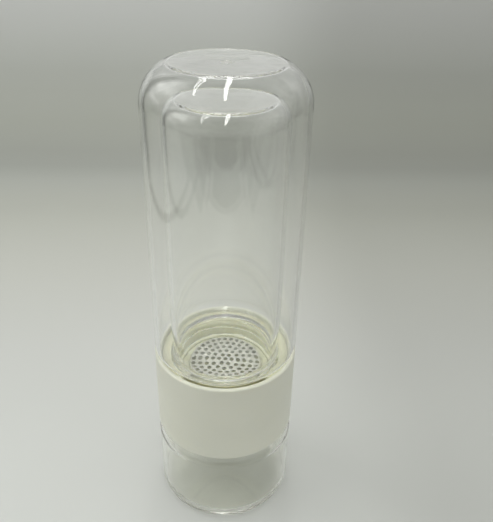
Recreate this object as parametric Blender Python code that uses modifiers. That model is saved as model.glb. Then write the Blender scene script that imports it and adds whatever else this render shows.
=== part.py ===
"""Tea infuser bottle, standing on its tea chamber with the flask upside down on top.

Metres, +Z up, origin at the centre of the tea chamber's foot. From the table up: a single-wall
glass tea chamber, a plastic collar that holds a strainer, and a double-wall glass flask whose
neck points down into the collar. Both glasses screw into the collar with right-hand threads.
"""

import math

import bmesh
import bpy
from mathutils import Matrix, Vector

# Sizes that the glass pieces share
GAP = 0.0003
BODY_RADIUS = 0.0325
GLASS_WALL = 0.0018
NECK_FILLET = 0.0012
MOUTH_FILLET = 0.0006
SHOULDER_RADIUS = 0.0070

# Tea chamber
CHAMBER_HEIGHT = 0.0427
CHAMBER_FOOT_RADIUS = 0.0050
CHAMBER_NECK_LENGTH = 0.0136

# Outer wall of the flask, the jacket
JACKET_LENGTH = 0.1290
BASE_EDGE_RADIUS = 0.0030
BASE_SLOPE_WIDTH = 0.0102
BASE_SLOPE_DROP = 0.0052
BASE_SHOULDER_RADIUS = 0.0165
SEAL_DROP_RADIUS = 0.0030
SEAL_DROP_HEIGHT = 0.0010

# Inner wall of the flask, the liner
LINER_CLEARANCE = 0.0057
LINER_BASE_CLEARANCE = 0.0115
LINER_EDGE_RADIUS = 0.0015
LINER_SLOPE_WIDTH = 0.0055
LINER_SLOPE_DROP = 0.0028
LINER_SHOULDER_RADIUS = 0.0085
TAPER_ABOVE_JACKET_LIP = 0.0060
TAPER_LENGTH = 0.0060
TAPER_FILLET = 0.0060
FLASK_NECK_LENGTH = 0.0097

# Screw threads: a bead round each neck and one in each socket of the collar
THREAD_PITCH = 0.0045
BEAD_RADIUS = 0.0012
BEAD_SINK = 0.0002
BEAD_END_RADIUS = 0.0004
BEAD_END_TURNS = 0.12
THREAD_CLEARANCE = 0.0004
THREAD_MARGIN = 0.0020

# Collar: an outer sleeve and two inserts inside it
SLEEVE_WALL = 0.0022
INSERT_WALL = 0.0048
SLEEVE_EDGE_RADIUS = 0.0008
RIM_CLEARANCE = 0.0009
SLEEVE_LIP_WIDTH = 0.0015
SLEEVE_LIP_HEIGHT = 0.0017
LEDGE_THICKNESS = 0.0020
LEDGE_WIDTH = 0.0049
WELL_DEPTH = 0.0099
WELL_WALL = 0.0020
FLOOR_THICKNESS = 0.0020
INSERT_SKIRT_WALL = 0.0022
INSERT_TOP_DROP = 0.0022
INSERT_EDGE_RADIUS = 0.0004

# Gaskets and the strainer's seal
GASKET_THICKNESS = 0.0018
GASKET_WIDTH = 0.0026
GASKET_EDGE_RADIUS = 0.0003
SEAL_WALL = 0.0013
SEAL_LENGTH = 0.0052
SEAL_FLANGE_WIDTH = 0.0023
SEAL_FLANGE_THICKNESS = 0.0012

# Strainer
STRAINER_SHEET = 0.0005
STRAINER_RISE = 0.0036
STRAINER_EDGE_RADIUS = 0.0012
STRAINER_LIP_FILLET = 0.0004
STRAINER_LIP_SETBACK = 0.0002
HOLE_RADIUS = 0.00095
HOLE_PITCH = 0.00296
HOLES_PER_RING = 6
HOLE_TURN = math.radians(-5.0)
HOLE_CUTTER_MARGIN = 0.0005

# Facets
TURN_STEPS = 40
BEAD_STEPS = 20
BEAD_BEVEL_STEPS = 1
HOLE_SIDES = 8
SEAL_DROP_STEPS = 3
FILLET_STEP = math.radians(30.0)
CHAMFERED_BELOW = 0.0013
MERGE = 0.00001

# Heights above the table that follow from the sizes, from the bottom up
CHAMBER_MOUTH = CHAMBER_HEIGHT + CHAMBER_NECK_LENGTH
SLEEVE_BOTTOM = CHAMBER_HEIGHT + GAP
LOWER_INSERT_BOTTOM = SLEEVE_BOTTOM + SLEEVE_LIP_HEIGHT + GAP
CHAMBER_GASKET_BOTTOM = CHAMBER_MOUTH + GAP
LEDGE_BOTTOM = CHAMBER_GASKET_BOTTOM + GASKET_THICKNESS + GAP
LEDGE_TOP = LEDGE_BOTTOM + LEDGE_THICKNESS
WELL_BOTTOM = LEDGE_TOP + GAP
FLOOR_TOP = WELL_BOTTOM + WELL_DEPTH
FLASK_GASKET_BOTTOM = FLOOR_TOP + GAP
FLASK_MOUTH = FLASK_GASKET_BOTTOM + GASKET_THICKNESS + GAP
JACKET_BOTTOM = FLASK_MOUTH + FLASK_NECK_LENGTH
JACKET_TOP = JACKET_BOTTOM + JACKET_LENGTH
LINER_TOP = JACKET_TOP - GLASS_WALL - LINER_BASE_CLEARANCE
TAPER_BOTTOM = JACKET_BOTTOM + TAPER_ABOVE_JACKET_LIP
TAPER_TOP = TAPER_BOTTOM + TAPER_LENGTH
UPPER_INSERT_TOP = JACKET_BOTTOM - INSERT_TOP_DROP

# Radii that follow from the sizes
BASE_FLAT_RADIUS = BODY_RADIUS - BASE_SLOPE_WIDTH
LINER_RADIUS = BODY_RADIUS - GLASS_WALL - LINER_CLEARANCE
LINER_FLAT_RADIUS = LINER_RADIUS - LINER_SLOPE_WIDTH
SLEEVE_BORE = BODY_RADIUS - SLEEVE_WALL
INSERT_RADIUS = SLEEVE_BORE - GAP
SOCKET_RADIUS = INSERT_RADIUS - INSERT_WALL
NECK_RADIUS = SOCKET_RADIUS - THREAD_CLEARANCE - BEAD_RADIUS + BEAD_SINK
GASKET_BORE = NECK_RADIUS - GASKET_WIDTH
SEAL_FLANGE_RADIUS = GASKET_BORE - GAP
SEAL_RADIUS = SEAL_FLANGE_RADIUS - SEAL_FLANGE_WIDTH
SEAL_BORE = SEAL_RADIUS - SEAL_WALL
WELL_RADIUS = SEAL_RADIUS + GAP
STRAINER_RADIUS = SEAL_BORE - GAP

# The strainer and its seal stand on the collar's floor, with as many rings of holes as fit.
SEAL_TOP = FLOOR_TOP + GAP + SEAL_FLANGE_THICKNESS
SEAL_BOTTOM = FLOOR_TOP + GAP - SEAL_LENGTH
STRAINER_TOP = SEAL_TOP + STRAINER_RISE
HOLE_RINGS = math.floor((STRAINER_RADIUS - STRAINER_EDGE_RADIUS - HOLE_RADIUS) / HOLE_PITCH)

# The sleeve's rim ends at the height where the jacket's rounded shoulder clears its bore.
RIM_REACH = SLEEVE_BORE - RIM_CLEARANCE - (BODY_RADIUS - SHOULDER_RADIUS)
SLEEVE_TOP = JACKET_BOTTOM + SHOULDER_RADIUS - math.sqrt(SHOULDER_RADIUS**2 - RIM_REACH**2)


def clear_scene():
    """Removes every object of the open scene."""
    for obj in list(bpy.data.objects):
        bpy.data.objects.remove(obj, do_unlink=True)


def new_collection(name):
    """A collection of this name, linked to the scene."""
    collection = bpy.data.collections.new(name)
    bpy.context.scene.collection.children.link(collection)
    return collection


def make_material(name, colour, roughness, metallic=0.0, transmission=0.0):
    """A Principled material."""
    material = bpy.data.materials.new(name)
    material.use_nodes = True
    shader = material.node_tree.nodes["Principled BSDF"]
    shader.inputs["Base Color"].default_value = (*colour, 1.0)
    shader.inputs["Roughness"].default_value = roughness
    shader.inputs["Metallic"].default_value = metallic
    shader.inputs["Transmission Weight"].default_value = transmission
    material.diffuse_color = (*colour, 1.0)
    return material


def corner_turn(before, corner, after):
    """The directions into and out of a corner, and the angle turned there, positive to the left."""
    into = (corner - before).normalized()
    out = (after - corner).normalized()
    return into, out, math.atan2(into.x * out.y - into.y * out.x, into.dot(out))


def inset(corners, wall):
    """The corners of a parallel path, a wall's thickness to the right of the given one."""
    points = [Vector(corner[:2]) for corner in corners]
    first_way = (points[1] - points[0]).normalized()
    last_way = (points[-1] - points[-2]).normalized()
    moved = [(*(points[0] + Vector((first_way.y, -first_way.x)) * wall), 0.0)]
    for index in range(1, len(points) - 1):
        into, out, turn = corner_turn(*points[index - 1 : index + 2])
        middle = (into + out).normalized()
        point = points[index] + Vector((middle.y, -middle.x)) * wall / math.cos(turn / 2)
        fillet = max(corners[index][2] + math.copysign(wall, turn), 0.0)
        moved.append((*point, fillet))
    moved.append((*(points[-1] + Vector((last_way.y, -last_way.x)) * wall), 0.0))
    return moved


def rounded(corners, closed=False):
    """Points along a path of (radius, height, fillet) corners, with an arc in place of each fillet."""
    points = [Vector(corner[:2]) for corner in corners]
    count = len(points)
    turns = [corner_turn(points[i - 1], points[i], points[(i + 1) % count]) for i in range(count)]
    reaches = [corner[2] * math.tan(abs(turn[2]) / 2) for corner, turn in zip(corners, turns)]
    if not closed:
        reaches[0] = 0.0
        reaches[-1] = 0.0
    for index in range(count if closed else count - 1):
        following = (index + 1) % count
        room = 0.98 * (points[following] - points[index]).length
        wanted = reaches[index] + reaches[following]
        if wanted > room:
            reaches[index] *= room / wanted
            reaches[following] *= room / wanted
    path = []
    for corner, point, (into, _, turn), reach in zip(corners, points, turns, reaches):
        if reach <= 0.0:
            path.append(point)
            continue
        side = Vector((-into.y, into.x)) * math.copysign(reach / math.tan(abs(turn) / 2), turn)
        centre = point - into * reach + side
        steps = 1 if corner[2] < CHAMFERED_BELOW else math.ceil(abs(turn) / FILLET_STEP)
        for step in range(steps + 1):
            arm = -side
            arm.rotate(Matrix.Rotation(turn * step / steps, 2))
            path.append(centre + arm)
    return path


def shell(outer, wall, rim_fillet, inner_end=()):
    """A turned wall's whole outline: its outer path and the inset one, joined at the open rim."""
    inner = list(reversed(inset(outer, wall)))
    if outer[0][0] > 0.0:
        rim = [(*inner[-1][:2], rim_fillet), (*outer[0][:2], rim_fillet)]
        return rounded(inner[:-1] + rim + outer[1:])
    rim = [(*outer[-1][:2], rim_fillet), (*inner[0][:2], rim_fillet)]
    return rounded(outer[:-1] + rim + inner[1:-1] + list(inner_end or inner[-1:]))


def place(obj, collection, material, parent=None):
    """Links an object to its collection, and hangs it on its parent without moving it."""
    collection.objects.link(obj)
    if material:
        obj.data.materials.append(material)
    if parent:
        obj.parent = parent
        obj.matrix_parent_inverse = Matrix.Translation(-parent.matrix_basis.translation)
    return obj


def turned(name, path, collection, material, parent=None, closed=False):
    """A body of revolution about +Z from a path that runs down its outer side."""
    count = len(path)
    edges = [(index, (index + 1) % count) for index in range(count if closed else count - 1)]
    mesh = bpy.data.meshes.new(name)
    mesh.from_pydata([(point.x, 0.0, point.y) for point in path], edges, [])
    obj = place(bpy.data.objects.new(name, mesh), collection, material, parent)
    screw = obj.modifiers.new("turn", "SCREW")
    screw.steps = TURN_STEPS
    screw.render_steps = TURN_STEPS
    screw.use_merge_vertices = True
    screw.merge_threshold = MERGE
    screw.use_smooth_shade = True
    return obj


def ring(name, corners, collection, material, parent=None):
    """A turned ring from the closed outline of its section."""
    return turned(name, rounded(corners, closed=True), collection, material, parent, closed=True)


def empty_on_axis(name, height, collection, parent=None):
    """An empty on the bottle's axis, which carries the pieces that turn or slide there."""
    empty = bpy.data.objects.new(name, None)
    empty.empty_display_size = BODY_RADIUS
    empty.location.z = height
    collection.objects.link(empty)
    if parent:
        empty.parent = parent
        empty.matrix_parent_inverse = Matrix.Translation(-parent.matrix_basis.translation)
    return empty


def bead_curve(name, radius, low, high, datum):
    """A helical bead between two heights, tapered to both ends."""
    curve = bpy.data.curves.new(name, "CURVE")
    curve.dimensions = "3D"
    curve.bevel_depth = BEAD_RADIUS
    curve.bevel_resolution = BEAD_BEVEL_STEPS
    curve.use_fill_caps = True
    turns = (high - low) / THREAD_PITCH
    steps = math.ceil(turns * BEAD_STEPS)
    spline = curve.splines.new("POLY")
    spline.points.add(steps)
    for step, point in enumerate(spline.points):
        height = low + (high - low) * step / steps
        angle = math.tau * (height - datum) / THREAD_PITCH
        point.co = (radius * math.cos(angle), radius * math.sin(angle), height, 1.0)
        from_end = turns * min(step, steps - step) / steps
        end_share = BEAD_END_RADIUS / BEAD_RADIUS
        point.radius = min(1.0, end_share + (1.0 - end_share) * from_end / BEAD_END_TURNS)
    return curve


def mesh_from_curve(name, curve, collection):
    """The curve's tube as a mesh object with its caps welded on."""
    source = bpy.data.objects.new(name + "_curve", curve)
    collection.objects.link(source)
    bpy.context.view_layer.update()
    graph = bpy.context.evaluated_depsgraph_get()
    mesh = bpy.data.meshes.new_from_object(source.evaluated_get(graph))
    mesh.name = name
    work = bmesh.new()
    work.from_mesh(mesh)
    bmesh.ops.remove_doubles(work, verts=work.verts, dist=MERGE)
    bmesh.ops.recalc_face_normals(work, faces=work.faces)
    work.to_mesh(mesh)
    work.free()
    obj = bpy.data.objects.new(name, mesh)
    obj.matrix_world = source.matrix_world
    bpy.data.objects.remove(source, do_unlink=True)
    collection.objects.link(obj)
    return obj


def combine(obj, other, operation):
    """Joins to an object, or cuts from it, a helper that is left out of the model."""
    other.hide_render = True
    other.display_type = "WIRE"
    boolean = obj.modifiers.new(other.name, "BOOLEAN")
    boolean.operation = operation
    boolean.solver = "EXACT"
    boolean.object = other


def add_thread(obj, wall_radius, outward, low, high, datum, cutters):
    """Joins a bead to a wall: outward on a neck, inward in a socket."""
    centre_radius = wall_radius - BEAD_SINK if outward else wall_radius + BEAD_SINK
    curve = bead_curve(obj.name + "_thread", centre_radius, low, high, datum)
    combine(obj, mesh_from_curve(obj.name + "_thread", curve, cutters), "UNION")


def build_tea_chamber(parts, cutters, glass):
    """The single-wall glass below: foot, wall, rounded shoulder and threaded neck."""
    outer = [
        (NECK_RADIUS, CHAMBER_MOUTH, MOUTH_FILLET),
        (NECK_RADIUS, CHAMBER_HEIGHT, NECK_FILLET),
        (BODY_RADIUS, CHAMBER_HEIGHT, SHOULDER_RADIUS),
        (BODY_RADIUS, 0.0, CHAMBER_FOOT_RADIUS),
        (0.0, 0.0, 0.0),
    ]
    chamber = turned("tea_chamber", shell(outer, GLASS_WALL, MOUTH_FILLET), parts, glass)
    low = CHAMBER_HEIGHT + THREAD_MARGIN + BEAD_RADIUS
    high = CHAMBER_MOUTH - THREAD_MARGIN
    add_thread(chamber, NECK_RADIUS, True, low, high, low, cutters)


def build_jacket(parts, glass, axis):
    """The flask's outer wall: closed base on top, rounded shoulder and a lip round the neck below."""
    outer = [
        (0.0, JACKET_TOP, 0.0),
        (BASE_FLAT_RADIUS, JACKET_TOP, BASE_EDGE_RADIUS),
        (BODY_RADIUS, JACKET_TOP - BASE_SLOPE_DROP, BASE_SHOULDER_RADIUS),
        (BODY_RADIUS, JACKET_BOTTOM, SHOULDER_RADIUS),
        (NECK_RADIUS + GAP, JACKET_BOTTOM, 0.0),
    ]
    drop = []
    for step in range(SEAL_DROP_STEPS + 1):
        share = 1.0 - step / SEAL_DROP_STEPS
        depth = SEAL_DROP_HEIGHT * (1.0 + math.cos(math.pi * share)) / 2
        drop.append((SEAL_DROP_RADIUS * share, JACKET_TOP - GLASS_WALL - depth, 0.0))
    turned("outer_jacket", shell(outer, GLASS_WALL, 0.0, drop), parts, glass, axis)


def build_liner(parts, cutters, glass, axis):
    """The flask's inner wall: closed base on top, tube, taper and threaded neck below."""
    outer = [
        (0.0, LINER_TOP, 0.0),
        (LINER_FLAT_RADIUS, LINER_TOP, LINER_EDGE_RADIUS),
        (LINER_RADIUS, LINER_TOP - LINER_SLOPE_DROP, LINER_SHOULDER_RADIUS),
        (LINER_RADIUS, TAPER_TOP, TAPER_FILLET),
        (NECK_RADIUS, TAPER_BOTTOM, TAPER_FILLET),
        (NECK_RADIUS, FLASK_MOUTH, 0.0),
    ]
    liner = turned("inner_liner", shell(outer, GLASS_WALL, MOUTH_FILLET), parts, glass, axis)
    low = FLASK_MOUTH + THREAD_MARGIN
    high = JACKET_BOTTOM - THREAD_MARGIN
    add_thread(liner, NECK_RADIUS, True, low, high, low, cutters)


def build_sleeve(parts, plastic, axis):
    """The collar's outer sleeve, with a lip inside its lower edge that carries the inserts."""
    lip_radius = SLEEVE_BORE - SLEEVE_LIP_WIDTH
    lip_top = SLEEVE_BOTTOM + SLEEVE_LIP_HEIGHT
    corners = [
        (BODY_RADIUS, SLEEVE_TOP, SLEEVE_EDGE_RADIUS),
        (BODY_RADIUS, SLEEVE_BOTTOM, SLEEVE_EDGE_RADIUS),
        (lip_radius, SLEEVE_BOTTOM, INSERT_EDGE_RADIUS),
        (lip_radius, lip_top, INSERT_EDGE_RADIUS),
        (SLEEVE_BORE, lip_top, 0.0),
        (SLEEVE_BORE, SLEEVE_TOP, SLEEVE_EDGE_RADIUS),
    ]
    ring("collar_sleeve", corners, parts, plastic, axis)


def build_lower_insert(parts, cutters, plastic, axis):
    """The insert that screws on the tea chamber, with a ledge above its gasket."""
    ledge_bore = SOCKET_RADIUS - LEDGE_WIDTH
    corners = [
        (INSERT_RADIUS, LEDGE_TOP, INSERT_EDGE_RADIUS),
        (INSERT_RADIUS, LOWER_INSERT_BOTTOM, INSERT_EDGE_RADIUS),
        (SOCKET_RADIUS, LOWER_INSERT_BOTTOM, INSERT_EDGE_RADIUS),
        (SOCKET_RADIUS, LEDGE_BOTTOM, 0.0),
        (ledge_bore, LEDGE_BOTTOM, INSERT_EDGE_RADIUS),
        (ledge_bore, LEDGE_TOP, INSERT_EDGE_RADIUS),
    ]
    insert = ring("lower_insert", corners, parts, plastic, axis)
    datum = CHAMBER_HEIGHT + THREAD_MARGIN + BEAD_RADIUS + THREAD_PITCH / 2
    low = LOWER_INSERT_BOTTOM + THREAD_MARGIN
    high = CHAMBER_MOUTH - THREAD_MARGIN
    add_thread(insert, SOCKET_RADIUS, False, low, high, datum, cutters)


def build_upper_insert(parts, cutters, plastic, axis):
    """The insert that takes the flask's neck, with a floor and a well for the strainer's seal."""
    skirt_radius = INSERT_RADIUS - INSERT_SKIRT_WALL
    floor_bottom = FLOOR_TOP - FLOOR_THICKNESS
    corners = [
        (INSERT_RADIUS, UPPER_INSERT_TOP, INSERT_EDGE_RADIUS),
        (INSERT_RADIUS, WELL_BOTTOM, INSERT_EDGE_RADIUS),
        (skirt_radius, WELL_BOTTOM, INSERT_EDGE_RADIUS),
        (skirt_radius, floor_bottom, 0.0),
        (WELL_RADIUS + WELL_WALL, floor_bottom, 0.0),
        (WELL_RADIUS + WELL_WALL, WELL_BOTTOM, INSERT_EDGE_RADIUS),
        (WELL_RADIUS, WELL_BOTTOM, INSERT_EDGE_RADIUS),
        (WELL_RADIUS, FLOOR_TOP, INSERT_EDGE_RADIUS),
        (SOCKET_RADIUS, FLOOR_TOP, 0.0),
        (SOCKET_RADIUS, UPPER_INSERT_TOP, INSERT_EDGE_RADIUS),
    ]
    insert = ring("upper_insert", corners, parts, plastic, axis)
    datum = FLASK_MOUTH + THREAD_MARGIN + THREAD_PITCH / 2
    low = FLASK_MOUTH + THREAD_MARGIN
    high = UPPER_INSERT_TOP - BEAD_RADIUS
    add_thread(insert, SOCKET_RADIUS, False, low, high, datum, cutters)


def build_gasket(name, bottom, parts, rubber, axis):
    """A flat soft ring between a glass mouth and the collar."""
    top = bottom + GASKET_THICKNESS
    corners = [
        (NECK_RADIUS, top, GASKET_EDGE_RADIUS),
        (NECK_RADIUS, bottom, GASKET_EDGE_RADIUS),
        (GASKET_BORE, bottom, GASKET_EDGE_RADIUS),
        (GASKET_BORE, top, GASKET_EDGE_RADIUS),
    ]
    ring(name, corners, parts, rubber, axis)


def build_strainer_seal(parts, rubber, axis):
    """The soft bush round the strainer: a flange on the floor and a sleeve down the well."""
    flange_bottom = FLOOR_TOP + GAP
    corners = [
        (SEAL_FLANGE_RADIUS, SEAL_TOP, GASKET_EDGE_RADIUS),
        (SEAL_FLANGE_RADIUS, flange_bottom, GASKET_EDGE_RADIUS),
        (SEAL_RADIUS, flange_bottom, 0.0),
        (SEAL_RADIUS, SEAL_BOTTOM, GASKET_EDGE_RADIUS),
        (SEAL_BORE, SEAL_BOTTOM, GASKET_EDGE_RADIUS),
        (SEAL_BORE, SEAL_TOP, GASKET_EDGE_RADIUS),
    ]
    ring("strainer_seal", corners, parts, rubber, axis)


def hole_centres():
    """The strainer's holes: one in the middle and rings of six, twelve and so on round it."""
    centres = [Vector((0.0, 0.0))]
    for ring_index in range(1, HOLE_RINGS + 1):
        count = HOLES_PER_RING * ring_index
        for index in range(count):
            angle = HOLE_TURN + math.tau * index / count
            centres.append(Vector((math.cos(angle), math.sin(angle))) * HOLE_PITCH * ring_index)
    return centres


def build_strainer(parts, cutters, steel, axis):
    """The steel cup: perforated closed end on top, open end with a small lip below."""
    lip_top = SEAL_BOTTOM - GAP
    outer = [
        (0.0, STRAINER_TOP, 0.0),
        (STRAINER_RADIUS, STRAINER_TOP, STRAINER_EDGE_RADIUS),
        (STRAINER_RADIUS, lip_top, STRAINER_LIP_FILLET),
        (SEAL_RADIUS - STRAINER_LIP_SETBACK, lip_top, 0.0),
    ]
    cup = turned("strainer", shell(outer, STRAINER_SHEET, 0.0), parts, steel, axis)
    mesh = bpy.data.meshes.new("strainer_holes")
    work = bmesh.new()
    for centre in hole_centres():
        middle = Vector((*centre, STRAINER_TOP - STRAINER_SHEET / 2))
        bmesh.ops.create_cone(
            work,
            cap_ends=True,
            segments=HOLE_SIDES,
            radius1=HOLE_RADIUS,
            radius2=HOLE_RADIUS,
            depth=STRAINER_SHEET + 2 * HOLE_CUTTER_MARGIN,
            matrix=Matrix.Translation(middle),
        )
    work.to_mesh(mesh)
    work.free()
    holes = bpy.data.objects.new("strainer_holes", mesh)
    cutters.objects.link(holes)
    combine(cup, holes, "DIFFERENCE")


def main():
    clear_scene()
    parts = new_collection("tea_infuser_bottle")
    cutters = new_collection("cutters")
    glass = make_material("clear_glass", (0.93, 0.95, 0.90), 0.03, transmission=1.0)
    ivory = make_material("ivory_plastic", (0.80, 0.79, 0.70), 0.35)
    natural = make_material("natural_plastic", (0.76, 0.77, 0.62), 0.40)
    silicone = make_material("pale_silicone", (0.74, 0.76, 0.62), 0.50)
    steel = make_material("stainless_steel", (0.72, 0.71, 0.67), 0.28, metallic=1.0)

    collar_axis = empty_on_axis("collar_axis", SLEEVE_BOTTOM, parts)
    flask_axis = empty_on_axis("flask_axis", FLASK_MOUTH, parts, collar_axis)
    strainer_axis = empty_on_axis("strainer_axis", FLOOR_TOP, parts, collar_axis)

    build_tea_chamber(parts, cutters, glass)
    build_gasket("chamber_gasket", CHAMBER_GASKET_BOTTOM, parts, silicone, collar_axis)
    build_sleeve(parts, ivory, collar_axis)
    build_lower_insert(parts, cutters, natural, collar_axis)
    build_upper_insert(parts, cutters, natural, collar_axis)
    build_strainer_seal(parts, silicone, strainer_axis)
    build_strainer(parts, cutters, steel, strainer_axis)
    build_gasket("flask_gasket", FLASK_GASKET_BOTTOM, parts, silicone, flask_axis)
    build_liner(parts, cutters, glass, flask_axis)
    build_jacket(parts, glass, flask_axis)


main()
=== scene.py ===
"""Looks of a tea infuser bottle, as it stands while the tea brews.

A glass tea chamber stands on the table, a plastic collar with a steel strainer is screwed on it, and
a double-wall glass flask stands upside down in the collar. Metres, +Z up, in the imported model's frame.
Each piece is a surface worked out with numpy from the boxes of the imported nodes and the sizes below.
"""

from __future__ import annotations

import logging
import math
from collections.abc import Callable, Sequence
from dataclasses import dataclass, field, replace
from enum import Enum
from functools import cache

import bpy
import numpy as np
from mathutils import Matrix, Vector
from mathutils.geometry import delaunay_2d_cdt


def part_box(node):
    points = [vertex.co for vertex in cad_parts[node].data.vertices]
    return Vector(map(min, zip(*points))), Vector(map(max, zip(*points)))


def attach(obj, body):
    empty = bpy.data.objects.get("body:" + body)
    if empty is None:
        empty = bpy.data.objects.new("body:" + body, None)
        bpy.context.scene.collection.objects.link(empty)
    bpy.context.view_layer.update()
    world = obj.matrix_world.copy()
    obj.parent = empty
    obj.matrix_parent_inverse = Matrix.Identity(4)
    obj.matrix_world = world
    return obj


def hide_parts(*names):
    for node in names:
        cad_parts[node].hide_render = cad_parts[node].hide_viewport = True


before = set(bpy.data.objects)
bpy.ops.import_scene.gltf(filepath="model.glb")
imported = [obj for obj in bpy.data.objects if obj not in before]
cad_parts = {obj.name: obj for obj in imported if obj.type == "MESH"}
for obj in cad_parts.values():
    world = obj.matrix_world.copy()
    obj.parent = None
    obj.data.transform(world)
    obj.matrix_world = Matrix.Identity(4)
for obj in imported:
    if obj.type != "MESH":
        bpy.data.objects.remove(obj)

LOG = logging.getLogger("tea_infuser_bottle")
TAU = math.tau
TINY = 1e-9

Colour = tuple[float, float, float]
Place = tuple[float, float, float]
Stops = tuple[tuple[float, Colour], ...]
Relief = Callable[[np.ndarray, np.ndarray, np.ndarray], np.ndarray]

# Fineness of the turned surfaces
COLUMNS = 240
ARC_CHORD = 0.00015
FINEST_ARC_STEP = math.radians(3.0)
COARSEST_ARC_STEP = math.radians(20.0)
SUPPORT = 0.00015
LONG_STEP = 0.0060
THREAD_STEP = 0.0002
FILLET_SHARE = 0.98
SHARP_ABOVE = math.radians(50.0)

# Flat sheets are triangulated in millimetres, and points closer than this are one
MILLIMETRES = 1000.0
SHEET_PRECISION = 1e-5

# What the lamps and the windows shine with
DAYLIGHT: Colour = (1.0, 1.0, 0.98)

# How often light may turn, for the many glass faces of the double wall
BOUNCES = 64
BOUNCE_KINDS = ("max_bounces", "transmission_bounces", "glossy_bounces", "transparent_max_bounces")


class Body(Enum):
    """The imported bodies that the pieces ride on."""

    TEA_CHAMBER = "tea_chamber"
    CHAMBER_GASKET = "chamber_gasket"
    COLLAR = "collar"
    STRAINER = "strainer"
    FLASK_GASKET = "flask_gasket"
    FLASK = "flask"


class Slot(Enum):
    """The record's material slots."""

    GLASS = "clear_glass"
    IVORY = "ivory_plastic"
    NATURAL = "natural_plastic"
    SILICONE = "pale_silicone"
    STEEL = "stainless_steel"


class Side(Enum):
    """The way that a thread's bead stands off its wall."""

    OUTWARD = 1.0
    INWARD = -1.0


@dataclass(frozen=True)
class Extent:
    """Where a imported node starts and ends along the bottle's axis, and its largest radius."""

    bottom: float
    top: float
    radius: float

    @classmethod
    def of(cls, node: str) -> Extent:
        """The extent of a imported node, in metres."""
        low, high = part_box(node)
        return cls(low.z, high.z, (high.x - low.x) / 2)


@dataclass(frozen=True)
class Corner:
    """A corner of a section: its place, its fillet, and the longest step along the span after it."""

    radius: float
    height: float
    fillet: float = 0.0
    step: float = LONG_STEP


def filleted(fillet: float, *places: tuple[float, float]) -> list[Corner]:
    """Corners at places of radius and height, with the same fillet at all."""
    return [Corner(*place, fillet) for place in places]


def directions(corners: Sequence[Corner]) -> tuple[np.ndarray, np.ndarray, np.ndarray, np.ndarray]:
    """Corners as complex numbers, radius + i height, with their ways and turns, taken as a ring.

    Args:
        corners: The corners in order.

    Returns:
        Points, unit ways in, unit ways out, and turns in radians, positive to the left.
    """
    points = np.array([complex(corner.radius, corner.height) for corner in corners])
    into = points - np.roll(points, 1)
    out = np.roll(points, -1) - points
    into = into / np.abs(into)
    out = out / np.abs(out)
    return points, into, out, np.angle(out * into.conj())


def straight(start: complex, end: complex, step: float) -> np.ndarray:
    """Points inside a straight span: one close to each end, which keeps the shading of fillets off
    the flat, and even steps between them.

    Args:
        start: The span's first point.
        end: Its last point.
        step: The longest step.

    Returns:
        The points between both ends, as complex numbers.
    """
    length = abs(end - start)
    if length < 3 * SUPPORT:
        return np.empty(0, complex)
    count = max(1, math.ceil((length - 2 * SUPPORT) / step))
    return start + (end - start) * np.linspace(SUPPORT, length - SUPPORT, count + 1) / length


def rounded(corners: Sequence[Corner], closed: bool = False) -> np.ndarray:
    """A section's outline with a circular arc in place of each fillet.

    At a corner that turns by angle a, an arc of radius f leaves the straight spans at the distance
    f tan(|a| / 2) from the corner. Its point at share s of the turn is the arc's centre minus the
    way to the centre turned by a s. Two fillets that meet on one span are shortened alike.

    Args:
        corners: The corners in order; a solid's outline runs down its outer side.
        closed: Whether the last corner joins the first.

    Returns:
        Rows of radius and height.
    """
    points, into, _, turns = directions(corners)
    if not closed:
        turns[[0, -1]] = 0.0
    reach = np.array([corner.fillet for corner in corners]) * np.tan(np.abs(turns) / 2)
    room = np.abs(np.roll(points, -1) - points)
    share = np.minimum(1.0, FILLET_SHARE * room / np.maximum(reach + np.roll(reach, -1), TINY))
    reach *= np.minimum(share, np.roll(share, 1))
    arcs = []
    for point, way, turn, length in zip(points, into, turns, reach):
        if length <= TINY:
            arcs.append(np.array([point]))
            continue
        radius = length / math.tan(abs(turn) / 2)
        to_centre = 1j * way * math.copysign(radius, turn)
        step = min(max(ARC_CHORD / radius, FINEST_ARC_STEP), COARSEST_ARC_STEP)
        shares = np.linspace(0.0, 1.0, math.ceil(abs(turn) / step) + 1)
        arcs.append(point - way * length + to_centre - to_centre * np.exp(1j * turn * shares))
    outline = []
    for index, arc in enumerate(arcs):
        outline.append(arc)
        if closed or index + 1 < len(arcs):
            following = arcs[(index + 1) % len(arcs)]
            outline.append(straight(arc[-1], following[0], corners[index].step))
    path = np.concatenate(outline)
    return np.stack([path.real, path.imag], axis=1)


def inset(corners: Sequence[Corner], wall: float) -> list[Corner]:
    """The corners of the parallel outline, a wall's thickness to the right of the given one.

    A corner moves along the middle of its two ways' normals by wall / cos(turn / 2), and its
    fillet grows by the wall on a left turn and shrinks by it on a right turn.

    Args:
        corners: The corners of an open outline.
        wall: The thickness.

    Returns:
        As many corners, in the same order.
    """
    points, into, out, turns = directions(corners)
    into[0] = out[0]
    out[-1] = into[-1]
    turns[[0, -1]] = 0.0
    middle = (into + out) / np.abs(into + out)
    moved = points - 1j * middle * wall / np.cos(turns / 2)
    grown = np.array([corner.fillet for corner in corners]) + wall * np.sign(turns)
    fillets = np.maximum(grown, 0.0) * (turns != 0.0)
    return [
        replace(corner, radius=float(place.real), height=float(place.imag), fillet=float(fillet))
        for corner, place, fillet in zip(corners, moved, fillets)
    ]


def soft_step(share: np.ndarray) -> np.ndarray:
    """3 t^2 - 2 t^3 of a share t that is held between 0 and 1."""
    share = np.clip(share, 0.0, 1.0)
    return share**2 * (3.0 - 2.0 * share)


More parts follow.
